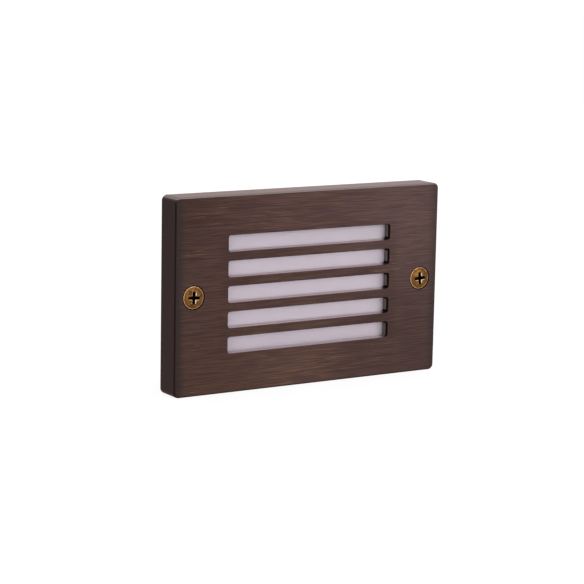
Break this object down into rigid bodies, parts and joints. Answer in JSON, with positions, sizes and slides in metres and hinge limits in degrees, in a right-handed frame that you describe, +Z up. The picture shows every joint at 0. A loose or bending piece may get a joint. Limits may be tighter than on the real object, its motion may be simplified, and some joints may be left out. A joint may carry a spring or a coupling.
{
  "type": "step light",
  "caption": "Flat rectangular wall or step light for recessing: slotted brass cover over an opal lens, on a cast housing with lamp board, driver, colour selector and cable gland.",
  "frame": {"origin": "centre of the cover's back rim, in the plane of the wall", "axes": "+X right as seen from the front, +Y into the wall, +Z up; the slotted face looks along -Y"},
  "size_m": [0.11, 0.0514, 0.07],
  "materials": {
    "antique_brass": "brushed brass with a dark brown patina, fine lines along its length",
    "bright_brass": "plain turned brass, slightly aged",
    "grey_silicone": "matt grey-green silicone",
    "opal_plastic": "opal white diffusing sheet, satin",
    "black_plastic": "moulded black, satin",
    "stainless": "plain stainless screw steel",
    "cast_aluminium": "die cast, lightly textured",
    "black_foam": "closed cell foam",
    "white_plastic": "moulded white reflector",
    "white_board": "white solder mask on an aluminium board",
    "phosphor": "yellow phosphor in a white package",
    "blue_pad": "soft heat conducting pad",
    "plate_aluminium": "plain rolled plate",
    "amber_film": "thin insulating film",
    "green_board": "green solder mask",
    "ferrite": "sintered ferrite",
    "terminal_plastic": "moulded green",
    "knob_plastic": "moulded white"
  },
  "bodies": {
    "wall_unit": {"housing": "cast_aluminium", "threaded_inserts": "bright_brass", "housing_seal": "grey_silicone", "wall_gasket": "black_foam", "reflector": "white_plastic", "led_board": "white_board", "led_chips": "phosphor", "thermal_pad": "blue_pad", "heat_spreader": "plate_aluminium", "led_board_screws": "stainless", "insulation_sheet": "amber_film", "driver_board": "green_board", "driver_screws": "stainless", "inductor": "ferrite", "capacitors": "plate_aluminium", "driver_chips": "black_plastic", "terminal_block": "terminal_plastic", "terminal_screws": "stainless", "link_header": "black_plastic", "link_pins": "bright_brass", "selector_switch": "black_plastic", "selector_seal": "black_foam", "gland_washer": "black_foam", "gland_body": "black_plastic", "gland_lock_nut": "black_plastic", "gland_seal": "grey_silicone", "gland_nut": "black_plastic"},
    "cover": {"cover_plate": "antique_brass", "cover_screws": "bright_brass", "screw_retainers": "black_plastic", "lens": "opal_plastic", "lens_gasket": "grey_silicone", "lens_frame": "black_plastic", "lens_frame_screws": "stainless"},
    "selector": {"selector_knob": "knob_plastic"}
  },
  "joints": [
    {"name": "cover_lift", "type": "slide", "parent": "wall_unit", "child": "cover", "axis": [0, -1, 0], "range_m": [0, 0.03]},
    {"name": "selector_slide", "type": "slide", "parent": "wall_unit", "child": "selector", "axis": [1, 0, 0], "range_m": [-0.002, 0.002]}
  ]
}
